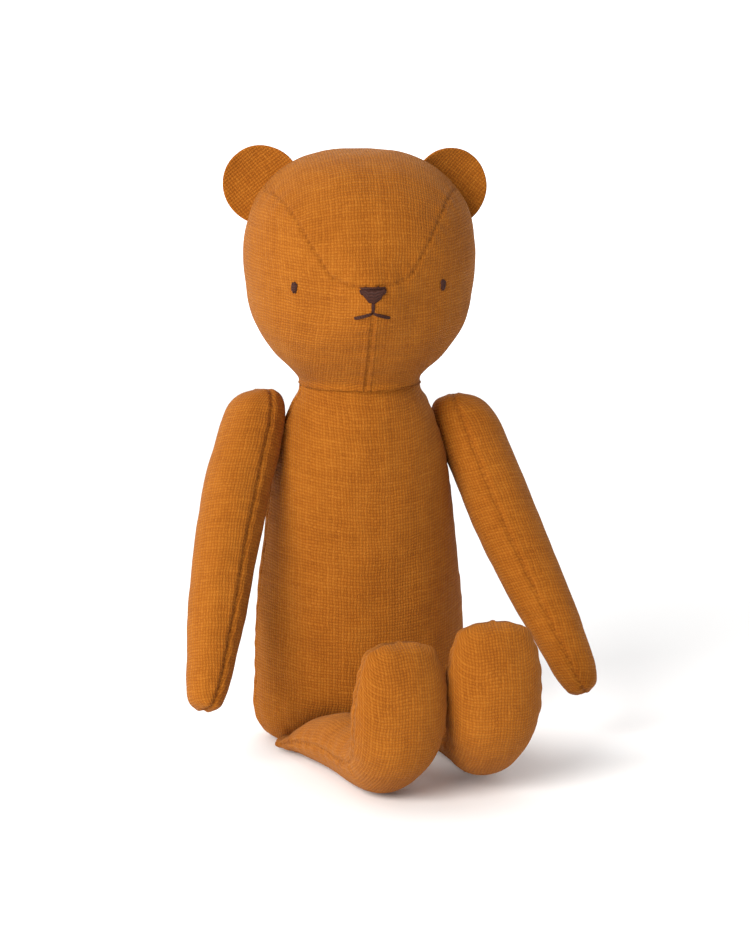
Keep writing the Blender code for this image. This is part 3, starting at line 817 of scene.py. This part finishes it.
def stuffed_cloth(kind, form, side=0):
    """The grid of one cover, made uneven by its filling."""
    around, down, seed, large, small = COVERS[kind]
    cloth = cloth_for(form, around, down)
    cloth.stuff(seed + side, large, small)
    return cloth


def build_torso():
    cloth = stuffed_cloth("torso", torso_form)
    for side_name in SIDES:
        spot = Vector(JOINTS[f"{side_name}_shoulder"]["pos_m"]) - TORSO_FRAME.translation
        away = np.linalg.norm(cloth.rest - np.array(spot), axis=-1)
        cloth.push(SHOULDER_BULGE * bump(away, SHOULDER_BULGE_SIZE))
    for turn in (0.0, math.pi):
        cloth.sew_down(turn, TORSO_SEAM)
    cloth.gather(TORSO_GATHERS, cloth.rest[..., 2])
    piece = cloth.build("torso_linen", half_panels(cloth), TORSO_FRAME, LINEN)
    finish_cover(piece, "torso", ["torso_cover"])


def gusset_seam(side):
    """An edge of the gusset: angles above straight ahead, and distances across the head."""
    curve = smooth_curve(GUSSET_EDGE, np.linspace(0.0, 1.0, 500))
    return np.radians(curve[:, 0]), side * curve[:, 1] * MM


def head_tree(cloth):
    """The head's surface as it is now, ready for lines to be cast at it."""
    vertices = cloth.points.reshape(-1, 3).tolist()
    rows, columns = cloth.points.shape[:2]
    grid = np.arange(rows * columns).reshape(rows, columns)
    right = np.roll(grid, -1, 1)
    quads = np.stack([grid[:-1], grid[1:], right[1:], right[:-1]], -1).reshape(-1, 4).tolist()
    return BVHTree.FromPolygons(vertices, quads)


def outermost(tree, across, angle):
    """The head's surface, met from outside along a line at an angle above straight ahead."""
    centre = Vector((across, 0.0, GUSSET_CENTRE))
    ray = Vector((0.0, -math.cos(angle), math.sin(angle)))
    hit = tree.ray_cast(centre + ray * CAST_DISTANCE, -ray)
    return hit[0] if hit[0] is not None else centre + ray * STAND_IN_DISTANCE


def build_head():
    """Makes the head's cover, and gives the surface that the face is sewn on."""
    cloth = stuffed_cloth("head", head_form)
    tree = head_tree(cloth)
    for side in SIDES.values():
        angle, across = gusset_seam(side)
        seam = np.array([outermost(tree, x, a) for a, x in zip(angle, across)])
        cloth.sew(seam, **GUSSET_SEWING)
    cloth.sew_down(FRONT, CHIN_SEAM, **CHIN_SEWING)
    cloth.sew_down(BACK, NAPE_SEAM)
    piece = cloth.build("head_linen", head_panels(cloth), HEAD_FRAME, LINEN)
    finish_cover(piece, "head", ["head_cover"])
    return tree


def head_panels(cloth):
    """A gusset over the middle, and a cheek on each side, each with its own cloth coordinates."""
    x, y, z = np.moveaxis(cloth.rest, -1, 0)
    angle = np.degrees(np.arctan2(z - GUSSET_CENTRE, -y))
    angle = np.where(angle < -90.0, angle + 360.0, angle)
    table = smooth_curve(GUSSET_EDGE, np.linspace(0.0, 1.0, 200))
    edge = np.interp(angle, table[:, 0], table[:, 1], left=0.0, right=0.0) * MM
    in_gusset = np.abs(x) < edge
    over_crown = np.radians(angle) * CROWN_RADIUS
    bowed = np.arcsin(np.clip(x / GUSSET_BOW_RADIUS, -1.0, 1.0)) * GUSSET_BOW_RADIUS
    down = cloth.down_from_top()
    round_face = cloth.around_from(FRONT)
    left = x > 0.0
    return [
        (in_gusset, bowed, over_crown),
        (~in_gusset & left, round_face, down + LEFT_CHEEK_SHIFT),
        (~in_gusset & ~left, round_face + RIGHT_CHEEK_SHIFT, down),
    ]


def build_ear(side_name, side):
    cloth = stuffed_cloth("ear", ear_form, side)
    place = (
        HEAD_FRAME
        @ Matrix.Translation(Vector(EAR_SPOT[side_name]))
        @ Matrix.Rotation(side * EAR_TURN, 4, "Z") @ Matrix.Rotation(side * EAR_LEAN, 4, "Y"))
    x, _, z = np.moveaxis(cloth.rest, -1, 0)
    front = cloth.faces_near(FRONT)
    panels = [(front, x, z), (~front, x + EAR_BACK_SHIFT, z)]
    piece = cloth.build(f"{side_name}_ear_linen", panels, place, LINEN)
    finish_cover(piece, "head", [f"{side_name}_ear_cover"])


def build_arm(side_name, side):
    cloth = stuffed_cloth("arm", arm_form(side), side)
    inner = math.pi if side > 0 else 0.0
    facing = np.clip(np.cos(cloth.turns - inner), 0.0, 1.0)[None, :]
    at_joint = bump(cloth.rest[..., 2], SHOULDER_SWELL_SIZE) * facing**2
    cloth.points[..., 0] -= side * SHOULDER_SWELL * at_joint
    lean = side * ARM_SEAM_TURN
    for turn in (FRONT - lean, BACK + lean):
        cloth.sew_down(turn, ARM_SEAM, **ARM_SEWING)
    on_inner = cloth.faces_near(inner, math.pi / 2.0 - ARM_SEAM_TURN)
    down = cloth.down_from_top()
    panels = [
        (on_inner, cloth.around_from(inner), down),
        (~on_inner, cloth.around_from(inner + math.pi), down + OUTER_ARM_SHIFT),
    ]
    piece = cloth.build(f"{side_name}_arm_linen", panels, arm_frame(side_name, side), LINEN)
    finish_cover(piece, f"{side_name}_arm", [f"{side_name}_arm_cover"])


def build_leg(side_name, side):
    cloth = stuffed_cloth("leg", leg_form, side)
    for turn in (0.0, math.pi):
        cloth.sew_down(turn, LEG_SEAM)
    upper = np.clip(np.sin(cloth.turns), 0.0, 1.0)[None, :]
    wander = CREASE_WANDER * noise_at(cloth.rest, CREASE_WANDER_SIZE, CREASE_SEED + side)
    for forward, depth, width in ANKLE_CREASES:
        away = (-cloth.rest[..., 1] - forward) + wander
        cloth.push(-depth * bump(away, width) * upper)
    cloth.gather(LEG_GATHERS, cloth.rest[..., 1], side)
    piece = cloth.build(f"{side_name}_leg_linen", half_panels(cloth), leg_frame(side_name), LINEN)
    finish_cover(piece, f"{side_name}_leg", [f"{side_name}_leg_cover"])


def hem_form(turn, share):
    """A flat fold of cloth, thick in the middle and thin at both ends, that lies along Y."""
    polar = math.pi * share
    size = np.sin(polar) ** 0.5
    x = HEM_HALF_WIDTH * size * np.cos(turn)
    z = HEM_HALF_THICKNESS * size * np.sin(turn)
    y = HEM_BACK - (HEM_BACK + HEM_FRONT) * (1.0 - np.cos(polar)) / 2.0
    return points_at(x, y, z)


def build_hem(side_name):
    """The sewn hip: a fold of cloth between the torso's underside and the leg's flat top."""
    cloth = cloth_for(hem_form, HEM_AROUND, HEM_DOWN)
    place = leg_frame(side_name)
    piece = cloth.build(f"{side_name}_hip_linen", half_panels(cloth), place, LINEN)
    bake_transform(piece)


# Embroidery

class Threads:
    """Stitches as tubes of thread, gathered into one mesh."""

    def __init__(self):
        self.vertices, self.faces, self.uvs = [], [], []

    def add(self, path, radius):
        """One strand along a path of points; its ends taper into the cloth."""
        path = np.asarray(path, float)
        tangents = np.gradient(path, axis=0)
        tangents /= np.linalg.norm(tangents, axis=1, keepdims=True)
        reference = np.array([0.0, -1.0, 0.0])
        start = len(self.vertices)
        last = len(path) - 1
        for index, (point, tangent) in enumerate(zip(path, tangents)):
            sideways = np.cross(tangent, reference)
            sideways /= np.linalg.norm(sideways)
            out = np.cross(sideways, tangent)
            from_end = min(index, last - index) / last * 2.0
            size = radius * min(1.0, STRAND_TIP + STRAND_TAPER * from_end)
            for k in range(STRAND_SIDES):
                turn = math.tau * k / STRAND_SIDES
                offset = math.cos(turn) * sideways + math.sin(turn) * out
                self.vertices.append(tuple(point + size * offset))
        for index in range(last):
            v, w = index / POINTS_PER_TWIST, (index + 1) / POINTS_PER_TWIST
            a, b = start + index * STRAND_SIDES, start + (index + 1) * STRAND_SIDES
            for k in range(STRAND_SIDES):
                n = (k + 1) % STRAND_SIDES
                self.faces.append((a + k, a + n, b + n, b + k))
                share, next_share = k / STRAND_SIDES, (k + 1) / STRAND_SIDES
                self.uvs.extend([(share, v), (next_share, v), (next_share, w), (share, w)])
        for ring_start, order in ((start, -1), (start + last * STRAND_SIDES, 1)):
            ring = [ring_start + k for k in range(STRAND_SIDES)][::order]
            self.faces.append(tuple(ring))
            self.uvs.extend([(0.0, 0.0)] * STRAND_SIDES)

    def build(self, name, node):
        """Makes the object, which is sewn to the head and stands for one CAD node."""
        mesh = bpy.data.meshes.new(name)
        mesh.from_pydata(self.vertices, [], self.faces)
        layer = mesh.uv_layers.new(name="cloth")
        layer.data.foreach_set("uv", np.array(self.uvs, float).reshape(-1))
        mesh.polygons.foreach_set("use_smooth", [True] * len(mesh.polygons))
        mesh.materials.append(BROWN_THREAD)
        mesh.update()
        piece = bpy.data.objects.new(name, mesh)
        bpy.context.scene.collection.objects.link(piece)
        piece.matrix_world = HEAD_FRAME
        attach(piece, "head")
        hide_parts(node)


def on_face(tree, across, height, lift):
    """A point above the face at (across, height) in mm, lifted out of the cloth by lift metres."""
    start = Vector((across * MM, -CAST_DISTANCE, height * MM))
    hit = tree.ray_cast(start, Vector((0.0, 1.0, 0.0)))
    normal = hit[1] if hit[1].y < 0.0 else -hit[1]
    return np.array(hit[0] + normal * lift)


def face_strand(tree, threads, start, end, radius, arch=0.5, steps=9):
    """A strand over the face that rises out of the cloth at one end and dives in at the other."""
    path = []
    for share in np.linspace(0.0, 1.0, steps):
        across = start[0] + (end[0] - start[0]) * share
        height = start[1] + (end[1] - start[1]) * share
        rise = math.sin(math.pi * share) ** 0.5
        path.append(on_face(tree, across, height, radius * (-0.9 + (1.5 + arch) * rise)))
    threads.add(path, radius)


def build_eye(tree, side_name, side):
    threads = Threads()
    half_width, half_height = EYE_HALF_SIZE
    for index in range(EYE_STRANDS):
        share = (index + 0.5) / EYE_STRANDS * 2.0 - 1.0
        reach = half_height * math.sqrt(1.0 - EYE_ROUNDNESS * share * share)
        across = side * EYE_PLACE[0] + share * half_width
        lean = EYE_WOBBLE * math.sin(2.3 * index)
        face_strand(
            tree, threads, (across - lean, EYE_PLACE[1] + reach),
            (across + lean, EYE_PLACE[1] - reach), THREAD_RADIUS, arch=1.2 * (1.0 - share * share))
    threads.build(f"{side_name}_eye_stitches", f"{side_name}_eye")


def build_nose(tree):
    """Upright strands side by side, with one long strand across their tops."""
    threads = Threads()
    for index in range(NOSE_STRANDS):
        share = (index + 0.5) / NOSE_STRANDS * 2.0 - 1.0
        across = share * NOSE_HALF_WIDTH
        depth = (NOSE_TOP - NOSE_BOTTOM) * (1.0 - abs(share) ** 2.2) ** 0.7
        wobble = NOSE_WOBBLE * math.sin(5.1 * index)
        top = NOSE_TOP - NOSE_ROUND_TOP * share**4 + wobble
        bottom = min(NOSE_TOP - depth + wobble, top - NOSE_LEAST_LENGTH)
        face_strand(
            tree, threads, (across, top), (across * NOSE_NARROWING, bottom), THREAD_RADIUS, arch=1.6)
    bar_height = NOSE_TOP - NOSE_BAR_DROP
    face_strand(
        tree, threads, (-NOSE_HALF_WIDTH, bar_height), (NOSE_HALF_WIDTH, bar_height),
        1.15 * THREAD_RADIUS, arch=2.2, steps=21)
    threads.build("nose_stitches", "nose")


def long_stitch(tree, name, start, end, node):
    """One straight stitch of two strands that lie side by side."""
    threads = Threads()
    length = math.hypot(end[0] - start[0], end[1] - start[1])
    across = ((end[1] - start[1]) / length, -(end[0] - start[0]) / length)
    for offset in (-LONG_STITCH_OFFSET, LONG_STITCH_OFFSET):
        x, z = across[0] * offset, across[1] * offset
        face_strand(
            tree, threads, (start[0] + x, start[1] + z), (end[0] + x, end[1] + z),
            1.1 * THREAD_RADIUS, arch=0.9, steps=13)
    threads.build(name, node)


def build_face(tree):
    for side_name, side in SIDES.items():
        build_eye(tree, side_name, side)
        long_stitch(
            tree, f"{side_name}_mouth_thread", (0.0, MOUTH_TOP[1]),
            (side * MOUTH_CORNER[0], MOUTH_CORNER[1]), f"{side_name}_mouth_stitch")
    build_nose(tree)
    long_stitch(tree, "chin_thread", (0.0, NOSE_BOTTOM + CHIN_OVERLAP), MOUTH_TOP, "chin_stitch")


# Pieces inside, which keep their CAD shape

def dress_inner_nodes():
    for name, node in frame["nodes"].items():
        if "stuffing" in name or "padding" in name:
            material = FIBRE
        elif "disc" in name or "washer" in name:
            material = NYLON
        else:
            continue
        node.data.materials.clear()
        node.data.materials.append(material)


# Studio

def build_light():
    light = bpy.data.lights.new("key_light", "AREA")
    light.shape = "DISK"
    light.size = LIGHT_SIZE
    light.energy = LIGHT_POWER
    light.color = LIGHT_COLOUR
    lamp = bpy.data.objects.new("key_light", light)
    bpy.context.scene.collection.objects.link(lamp)
    lamp.location = LIGHT_PLACE
    aim = Vector(LIGHT_TARGET) - Vector(LIGHT_PLACE)
    lamp.rotation_euler = aim.to_track_quat("-Z", "Y").to_euler()


def build_floor():
    floor_mesh = bpy.data.meshes.new("studio_floor")
    corners = [(x * FLOOR_HALF_SIZE, y * FLOOR_HALF_SIZE, 0.0) for x, y in (
        (-1, -1), (1, -1), (1, 1), (-1, 1))]
    floor_mesh.from_pydata(corners, [], [(0, 1, 2, 3)])
    floor = bpy.data.objects.new("studio_floor", floor_mesh)
    bpy.context.scene.collection.objects.link(floor)
    paper = Nodes("pale_paper")
    paper.shader.inputs["Base Color"].default_value = PAPER_COLOUR
    paper.shader.inputs["Roughness"].default_value = 0.95
    floor_mesh.materials.append(paper.material)


def build_world():
    """A white backdrop that is brighter behind the bear than in front of it."""
    world = bpy.data.worlds.new("studio")
    bpy.context.scene.world = world
    world.use_nodes = True
    tree = world.node_tree
    direction = tree.nodes.new("ShaderNodeTexCoord").outputs["Generated"]
    split = tree.nodes.new("ShaderNodeSeparateXYZ")
    tree.links.new(direction, split.inputs[0])
    backdrop = tree.nodes.new("ShaderNodeMapRange")
    tree.links.new(split.outputs[1], backdrop.inputs["Value"])
    for socket, value in BACKDROP:
        backdrop.inputs[socket].default_value = value
    sky = tree.nodes["Background"]
    sky.inputs["Color"].default_value = (1.0, 1.0, 1.0, 1.0)
    tree.links.new(backdrop.outputs[0], sky.inputs["Strength"])


def build_studio():
    build_floor()
    build_world()
    build_light()
    bpy.context.scene.view_settings.view_transform = "Standard"


def build_camera():
    facing = Vector((
        math.sin(CAMERA_TURN) * math.cos(CAMERA_RISE),
        -math.cos(CAMERA_TURN) * math.cos(CAMERA_RISE),
        math.sin(CAMERA_RISE),
    ))
    camera_data = bpy.data.cameras.new("camera")
    camera_data.sensor_fit = "VERTICAL"
    camera_data.sensor_height = CAMERA_SENSOR_HEIGHT
    camera_data.lens = CAMERA_LENS
    camera_data.dof.use_dof = False
    camera = bpy.data.objects.new("camera", camera_data)
    bpy.context.scene.collection.objects.link(camera)
    camera.location = Vector(CAMERA_TARGET) + facing * CAMERA_DISTANCE
    camera.rotation_euler = (-facing).to_track_quat("-Z", "Y").to_euler()
    bpy.context.scene.camera = camera


build_camera()
build_torso()
build_face(build_head())
for side_name, side in SIDES.items():
    build_ear(side_name, side)
    build_arm(side_name, side)
    build_leg(side_name, side)
    build_hem(side_name)
dress_inner_nodes()
build_studio()

bpy.context.view_layer.update()
